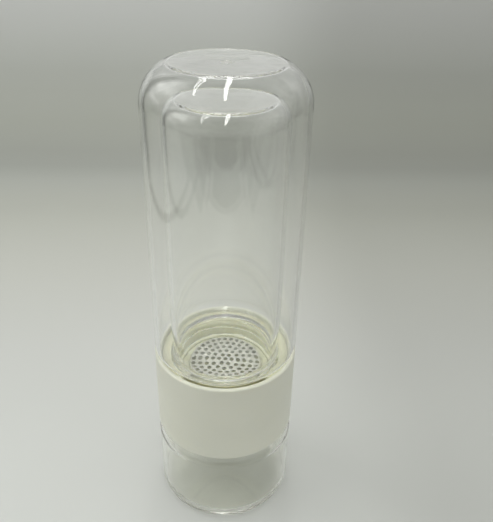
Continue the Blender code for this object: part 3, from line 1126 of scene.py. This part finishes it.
@dataclass
class StrainerCup:
    """The perforated steel cup and the soft seal that holds it in the collar's well."""

    fit: Fit
    sheet: float = 0.0005
    lip_width: float = 0.0014
    lip_fillet: float = 0.0002
    edge_fillet: float = 0.0009
    plate_margin: float = 0.00005
    hole_radius: float = 0.00104
    hole_edge: float = 0.00005
    hole_pitch: float = 0.00296
    hole_turn: float = math.radians(-5.0)
    holes_per_ring: int = 6
    hole_columns: int = 18
    flange_width: float = 0.0023
    flange_thickness: float = 0.0012
    seal_wall: float = 0.0013

    def __post_init__(self) -> None:
        """Reads the cup's and the seal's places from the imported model."""
        self.cup = Extent.of("strainer")
        self.seal = Extent.of("strainer_seal")
        self.radius = self.cup.radius - self.lip_width
        self.mouth_radius = self.hole_radius + self.hole_edge
        self.seal_radius = self.seal.radius - self.flange_width
        self.floor_top = self.seal.top - self.flange_thickness - self.fit.gap

    def hole_centres(self) -> np.ndarray:
        """One hole in the middle and rings of six, twelve and so on round it, as many as fit.

        Returns:
            Rows of x and y.
        """
        room = self.radius - self.edge_fillet - self.hole_radius - self.hole_edge
        centres = [np.zeros((1, 2))]
        for number in range(1, math.floor(room / self.hole_pitch) + 1):
            count = self.holes_per_ring * number
            angle = self.hole_turn + np.arange(count) * TAU / count
            centres.append(number * self.hole_pitch * np.stack([np.cos(angle), np.sin(angle)], axis=1))
        return np.concatenate(centres)

    def side(self) -> np.ndarray:
        """The cup without its plate: from the plate's edge down the side, round the lip, and up
        inside to the plate's underside.

        Returns:
            Rows of radius and height.
        """
        top, bottom, sheet, lip = self.cup.top, self.cup.bottom, self.sheet, self.lip_fillet
        inside = self.radius - sheet
        plate_edge = self.radius - self.edge_fillet - self.plate_margin
        corners = [
            Corner(plate_edge, top),
            Corner(self.radius, top, self.edge_fillet),
            Corner(self.radius, bottom + sheet, lip),
            Corner(self.cup.radius, bottom + sheet, lip),
            Corner(self.cup.radius, bottom, lip),
            Corner(inside, bottom, lip + sheet),
            Corner(inside, top - sheet, self.edge_fillet - sheet),
            Corner(plate_edge, top - sheet),
        ]
        return rounded(corners)

    def holes(self) -> tuple[np.ndarray, Surface]:
        """The rounded walls of all holes: one small section, up each hole, turned about each centre.

        Returns:
            The points as hole, row, column and coordinate, and the surface.
        """
        top, bottom, step = self.cup.top, self.cup.top - self.sheet, self.sheet
        corners = [
            Corner(self.mouth_radius, bottom, step=step),
            Corner(self.hole_radius, bottom, self.hole_edge, step),
            Corner(self.hole_radius, top, self.hole_edge, step),
            Corner(self.mouth_radius, top),
        ]
        wall = lathe(rounded(corners), self.hole_columns)
        centres = self.hole_centres()
        offset = np.concatenate([centres, np.zeros((len(centres), 1))], axis=1)
        points = wall.points[None] + offset[:, None]
        shift = (np.arange(len(centres)) * len(wall.points))[:, None, None]
        faces = (wall.faces[0][None] + shift).reshape(-1, 4)
        rows = points.reshape(len(centres), -1, self.hole_columns, 3)
        return rows, Surface(points.reshape(-1, 3), [faces])

    def plate(self, rim: np.ndarray, mouths: np.ndarray, faces_up: bool) -> Surface:
        """The flat sheet between the cup's rim and the holes' mouths, by the triangulation with the
        widest angles that keeps all of their edges. Triangles inside a mouth are left out.

        Args:
            rim: The rim's points in order.
            mouths: The mouths' points as hole, column and coordinate.
            faces_up: Whether its faces point up.

        Returns:
            The flat surface, on exactly the given points.
        """
        points = np.concatenate([rim, mouths.reshape(-1, 3)])
        loops = [np.arange(len(rim))]
        loops += list(np.arange(len(rim), len(points)).reshape(len(mouths), -1))
        edges = np.concatenate([np.stack([loop, np.roll(loop, -1)], axis=1) for loop in loops])
        flat = [Vector(place) for place in (MILLIMETRES * points[:, :2]).tolist()]
        _, _, faces, origins, *_ = delaunay_2d_cdt(flat, edges.tolist(), [], 0, SHEET_PRECISION, True)
        triangles = np.array([origins[corner][0] for face in faces for corner in face]).reshape(-1, 3)
        middle = points[triangles, :2].mean(axis=1)
        distance = np.linalg.norm(middle[:, None] - self.hole_centres()[None], axis=2).min(axis=1)
        triangles = triangles[distance > self.mouth_radius]
        a, b, c = (points[triangles[:, k], :2] for k in range(3))
        turn = (b - a)[:, 0] * (c - a)[:, 1] - (b - a)[:, 1] * (c - a)[:, 0]
        wrong = (turn > 0.0) != faces_up
        triangles[wrong] = triangles[wrong][:, ::-1]
        return Surface(points, [triangles])

    def seal_corners(self) -> list[Corner]:
        """The seal's closed section: a flange on the floor and a sleeve down the well.

        Returns:
            Its corners.
        """
        seal, bore = self.seal, self.seal_radius - self.seal_wall
        flange_bottom = seal.top - self.flange_thickness
        return filleted(
            self.fit.gasket_fillet,
            (seal.radius, seal.top),
            (seal.radius, flange_bottom),
            (self.seal_radius, flange_bottom),
            (self.seal_radius, seal.bottom),
            (bore, seal.bottom),
            (bore, seal.top),
        )

    def build(self) -> list[bpy.types.Object]:
        """Builds the perforated cup and its seal.

        Returns:
            The pieces.
        """
        side = lathe(self.side())
        rows = side.points.reshape(-1, COLUMNS, 3)
        mouths, walls = self.holes()
        over = self.plate(rows[0], mouths[:, -1], faces_up=True)
        under = self.plate(rows[-1], mouths[:, 0], faces_up=False)
        cup, seal = (side + walls + over + under).welded(), ring(self.seal_corners())
        return [
            dress(cup, "strainer_cup", STEEL, Body.STRAINER, "strainer"),
            dress(seal, "strainer_seal_ring", SILICONE, Body.STRAINER, "strainer_seal"),
        ]


@dataclass(frozen=True)
class Viewpoint:
    """The camera, where the photograph was taken from."""

    place: Place = (0.0, -0.22206, 0.25970)
    pitch: float = math.radians(30.533)
    yaw: float = math.radians(2.296)
    roll: float = math.radians(1.428)
    focal_pixels: float = 600.8
    picture: tuple[int, int] = (493, 522)
    sensor: float = 36.0
    nearest: float = 0.01
    furthest: float = 20.0

    def build(self) -> None:
        """Makes the camera. It looks along (sin yaw cos pitch, cos yaw cos pitch, -sin pitch), and
        its sides are turned about that way by the roll."""
        flat, drop = math.cos(self.pitch), -math.sin(self.pitch)
        ahead = Vector((math.sin(self.yaw) * flat, math.cos(self.yaw) * flat, drop))
        level = Vector((math.cos(self.yaw), -math.sin(self.yaw), 0.0))
        rise = level.cross(ahead)
        right = math.cos(self.roll) * level + math.sin(self.roll) * rise
        up = math.cos(self.roll) * rise - math.sin(self.roll) * level
        data = bpy.data.cameras.new("photo_camera")
        data.sensor_width = self.sensor
        data.lens = self.focal_pixels * self.sensor / max(self.picture)
        data.clip_start, data.clip_end = self.nearest, self.furthest
        camera = linked(bpy.data.objects.new("photo_camera", data))
        camera.matrix_world = stood(Vector(self.place), right, up, -ahead)
        bpy.context.scene.camera = camera


def stood(place: Vector, x: Vector, y: Vector, z: Vector) -> Matrix:
    """The matrix that stands an object at a place with its own axes along three unit ways."""
    return Matrix.Translation(place) @ Matrix((x, y, z)).transposed().to_4x4()


@dataclass(frozen=True)
class SheetEdges:
    """Where a sheet of the sweep starts and ends across, and where it starts in front."""

    left: float
    right: float
    front: float
    left_on_wall: float | None = None
    right_on_wall: float | None = None

    def across(self, share: np.ndarray) -> np.ndarray:
        """Its left and right edge.

        Args:
            share: How far up the wall's curve, from 0 to 1.

        Returns:
            Rows of both edges' x.
        """
        low = np.array([self.left, self.right])
        high = np.array([self.left_on_wall or self.left, self.right_on_wall or self.right])
        return low + (high - low) * share[:, None]


@dataclass(frozen=True)
class PaperSweep:
    """Pale sheets side by side, that lie on the table and curve up into a wall behind the bottle.

    The gap beside the middle ones and the uneven front are outside the picture; through them the
    painted-shade board underneath shows as dark lines and lobes in the glass.
    """

    name: str = "paper_sweep"
    edges: tuple[SheetEdges, ...] = (
        SheetEdges(-1.300, -0.355, -0.290, right_on_wall=-0.560),
        SheetEdges(-0.335, -0.200, -0.310, left_on_wall=-0.405),
        SheetEdges(-0.200, -0.165, -0.430),
        SheetEdges(-0.165, 0.175, -0.372),
        SheetEdges(0.175, 0.210, -0.430),
        SheetEdges(0.210, 0.345, -0.300),
        SheetEdges(0.345, 1.000, -0.260),
    )
    wall: float = 0.430
    cove: float = 0.110
    height: float = 0.300
    lean_from: float = 0.230
    below: float = 0.00008
    rows: int = 24
    near: float = -0.30
    far: float = 0.90
    # Painted light and shade along the sweep, by y + z: lighter on the table in front, darkest in the cove,
    # lighter again up the wall
    stops: Stops = (
        (0.000, (0.645, 0.655, 0.640)),
        (0.260, (0.620, 0.633, 0.612)),
        (0.332, (0.586, 0.595, 0.573)),
        (0.418, (0.540, 0.546, 0.510)),
        (0.494, (0.490, 0.498, 0.456)),
        (0.530, (0.456, 0.465, 0.426)),
        (0.563, (0.416, 0.428, 0.398)),
        (0.585, (0.360, 0.371, 0.344)),
        (0.607, (0.362, 0.372, 0.342)),
        (0.645, (0.420, 0.432, 0.392)),
        (0.679, (0.493, 0.506, 0.468)),
        (0.706, (0.585, 0.600, 0.570)),
        (0.750, (0.690, 0.700, 0.688)),
        (0.830, (0.900, 0.910, 0.890)),
    )
    # Painted shade towards the right: where it starts and is full, its share, and the colour that it and
    # the mottle darken towards
    dim_from: float = 0.010
    dim_full: float = 0.130
    dim: float = 0.28
    dim_colour: Colour = (0.13, 0.13, 0.11)
    mottle: float = 0.05
    mottle_size: float = 0.16
    fibre_size: float = 0.0007
    fibre_depth: float = 0.00002
    roughness: float = 0.75
    fibre_roughness: float = 0.1
    shine: float = 0.25

    def surface(self, graph: Graph) -> Value:
        """The paper: its colour follows y + z, which grows along the whole sweep, with painted light and
        shade that are darkest in the cove, and it has painted shade that grows to the right.

        Args:
            graph: The material's graph.

        Returns:
            The shader.
        """
        along = (graph.coordinate("Y") + graph.coordinate("Z") - self.near) * (1.0 / (self.far - self.near))
        colour = graph.add("ShaderNodeValToRGB", {"stops": self.stops}, {"Fac": along})
        # Painted shade that grows to the right
        side = graph.coordinate("X").rise(self.dim_from, self.dim_full) * self.dim
        mottle = graph.noise(self.mottle_size, detail=2.0) * self.mottle
        fibre = graph.noise(self.fibre_size, detail=2.0)
        return graph.add(
            "ShaderNodeBsdfPrincipled",
            sockets={
                "Base Color": graph.blend(side + mottle, colour, self.dim_colour),
                "Roughness": fibre * self.fibre_roughness + self.roughness,
                "Specular IOR Level": self.shine,
                "Normal": graph.bumped(fibre, self.fibre_depth),
            },
        )

    def sheet(self, edges: SheetEdges) -> Surface:
        """One sheet: a straight line carried across x that runs back along the table, turns up by a
        quarter circle and goes up the wall.

        Args:
            edges: Where it starts and ends.

        Returns:
            The sheet.
        """
        angle = np.linspace(0.0, TAU / 4, self.rows)
        start = self.wall - self.cove
        back = np.array([edges.front, self.lean_from, *(start + self.cove * np.sin(angle)), self.wall])
        up = np.array([0.0, 0.0, *(self.cove * (1.0 - np.cos(angle))), self.height]) - self.below
        across = edges.across(np.clip((back - self.lean_from) / (self.wall - self.lean_from), 0.0, 1.0))
        points = np.stack(np.broadcast_arrays(across, back[:, None], up[:, None]), axis=2)
        index = np.arange(points.size // 3).reshape(points.shape[:2])
        quads = np.stack([index[:-1, 0], index[:-1, 1], index[1:, 1], index[1:, 0]], axis=1)
        return Surface(points.reshape(-1, 3), [quads])

    def build(self) -> None:
        """Makes the sheets as one stage object."""
        first, *others = (self.sheet(edges) for edges in self.edges)
        sum(others, start=first).piece(self.name, new_material(self.name, self.surface))


# Painted shade: a dark sheet under and behind the paper, that shows through the gap between the sheets and
# past their fronts
SHADE_BOARD = PaperSweep(
    "dark_board",
    (SheetEdges(-0.700, 0.700, -0.620),),
    wall=0.450,
    below=0.020,
    stops=((0.0, (0.08, 0.08, 0.08)), (1.0, (0.08, 0.08, 0.08))),
)
DARK_POST = replace(
    SHADE_BOARD, name="dark_post", edges=(SheetEdges(-0.640, -0.415, 0.250),), wall=0.460, height=1.300
)


@dataclass(frozen=True)
class Lamp:
    """A tube under the ceiling. It faces straight down, or a point where it has an aim."""

    name: str
    x: float
    y: float
    width: float
    length: float
    watts: float
    long_way: tuple[float, float]
    aim: Place | None = None
    height: float = 0.950

    def build(self) -> None:
        """Makes the lamp. It shines along its own -Z, and its long side lies as near to long_way as
        it can."""
        data = bpy.data.lights.new(self.name, "AREA")
        data.shape = "RECTANGLE"
        data.size, data.size_y = self.width, self.length
        data.energy = self.watts
        data.color = DAYLIGHT
        place = Vector((self.x, self.y, self.height))
        back = (place - Vector(self.aim or (self.x, self.y, 0.0))).normalized()
        side = Vector((*self.long_way, 0.0)).cross(back).normalized()
        lamp = linked(bpy.data.objects.new(self.name, data))
        lamp.matrix_world = stood(place, side, back.cross(side), back)


@dataclass(frozen=True)
class SoftWindow:
    """A patch of brighter, cloudy sky with a soft edge. Its angles are in degrees."""

    around: float
    above: float
    inner: float
    outer: float
    strength: float
    clouds: float = 1.0
    cloud_size: float = 0.22
    clouds_from: float = 0.36
    clouds_full: float = 0.62

    def glow(self, graph: Graph, way: Value) -> Value:
        """Its light towards a way, from the cosine of the angle between the way and its middle.

        Args:
            graph: The world's graph.
            way: The way that is looked at.

        Returns:
            The light to add.
        """
        around, above, inner, outer = map(math.radians, (self.around, self.above, self.inner, self.outer))
        middle = (math.sin(around) * math.cos(above), math.cos(around) * math.cos(above), math.sin(above))
        sockets = {"Vector": way, "Vector_001": middle}
        cosine = graph.add("ShaderNodeVectorMath", {"operation": "DOT_PRODUCT"}, sockets, output="Value")
        step = cosine.rise(math.cos(outer), math.cos(inner))
        clouds = graph.noise(self.cloud_size, detail=2.0, at=way).rise(self.clouds_from, self.clouds_full)
        return step * self.strength * (clouds * self.clouds + (1.0 - self.clouds / 2))


@dataclass(frozen=True)
class Studio:
    """Soft light all round, ceiling tubes for the highlights, and windows at both sides."""

    sky: Stops = (
        (0.00, (0.03, 0.03, 0.03)),
        (0.48, (0.04, 0.04, 0.04)),
        (0.53, (0.30, 0.30, 0.29)),
        (0.72, (0.54, 0.55, 0.53)),
        (1.00, (0.36, 0.37, 0.35)),
    )
    windows: tuple[SoftWindow, ...] = (
        SoftWindow(-66.0, 31.0, 2.0, 33.0, 1.20),
        SoftWindow(62.0, 32.0, 2.0, 26.0, 0.28),
        SoftWindow(3.0, 20.0, 2.0, 26.0, 0.30, clouds=0.4),
        SoftWindow(-115.0, 35.0, 10.0, 65.0, 0.44),
        SoftWindow(110.0, 30.0, 10.0, 65.0, 0.38),
    )
    lamps: tuple[Lamp, ...] = (
        Lamp("near_tube", 0.003, -0.105, 0.045, 0.880, 1.26, (0.06, 1.0)),
        Lamp("cross_tube", -0.010, 0.317, 0.041, 0.480, 0.50, (1.0, 0.0)),
        Lamp("far_tube", 0.060, 0.480, 0.030, 0.300, 0.13, (0.20, 1.0), aim=(0.0, 0.0, 0.20)),
        Lamp("left_tube", -0.258, 0.165, 0.035, 1.066, 1.20, (0.52, 0.854)),
    )

    def build(self) -> None:
        """Makes the world, whose light follows the height of the way looked at and the windows, and
        the lamps."""
        world = bpy.data.worlds.new("studio_sky")
        bpy.context.scene.world = world
        world.use_nodes = True
        graph = Graph(world.node_tree)
        way = graph.add("ShaderNodeTexCoord", output="Generated")
        climb = graph.add("ShaderNodeSeparateXYZ", sockets={"Vector": way}, output="Z") * 0.5 + 0.5
        colour = graph.add("ShaderNodeValToRGB", {"stops": self.sky}, {"Fac": climb})
        first, *others = (window.glow(graph, way) for window in self.windows)
        glow = sum(others, start=first)
        base = graph.add("ShaderNodeBackground", sockets={"Color": colour, "Strength": 1.0})
        bright = graph.add("ShaderNodeBackground", sockets={"Color": DAYLIGHT, "Strength": glow})
        light = graph.add("ShaderNodeAddShader", sockets={"Shader": base, "Shader_001": bright})
        graph.add("ShaderNodeOutputWorld", sockets={"Surface": light})
        for lamp in self.lamps:
            lamp.build()


def set_look() -> None:
    """Sets a plain view transform, and how often light may turn."""
    scene = bpy.context.scene
    scene.view_settings.view_transform = "Standard"
    for kind in BOUNCE_KINDS:
        setattr(scene.cycles, kind, BOUNCES)


def main() -> None:
    """Builds the bottle, the stage and the light, and reports each piece."""
    logging.basicConfig(level=logging.INFO, format="%(name)s: %(message)s")
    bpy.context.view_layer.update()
    set_look()
    fit = Fit()
    chamber, flask, cup = TeaChamber(fit), Flask(fit), StrainerCup(fit)
    gaskets = (
        Gasket(fit, "chamber_gasket", Body.CHAMBER_GASKET),
        Gasket(fit, "flask_gasket", Body.FLASK_GASKET),
    )
    pieces = [chamber.build(), flask.build(), *Collar(fit).build(chamber, flask, cup), *cup.build()]
    pieces += [gasket.build() for gasket in gaskets]
    for piece in pieces:
        LOG.info("%s: %d points, %d faces", piece.name, len(piece.data.vertices), len(piece.data.polygons))
    for staged in (PaperSweep(), SHADE_BOARD, DARK_POST, Studio(), Viewpoint()):
        staged.build()


if __name__ == "__main__":
    main()
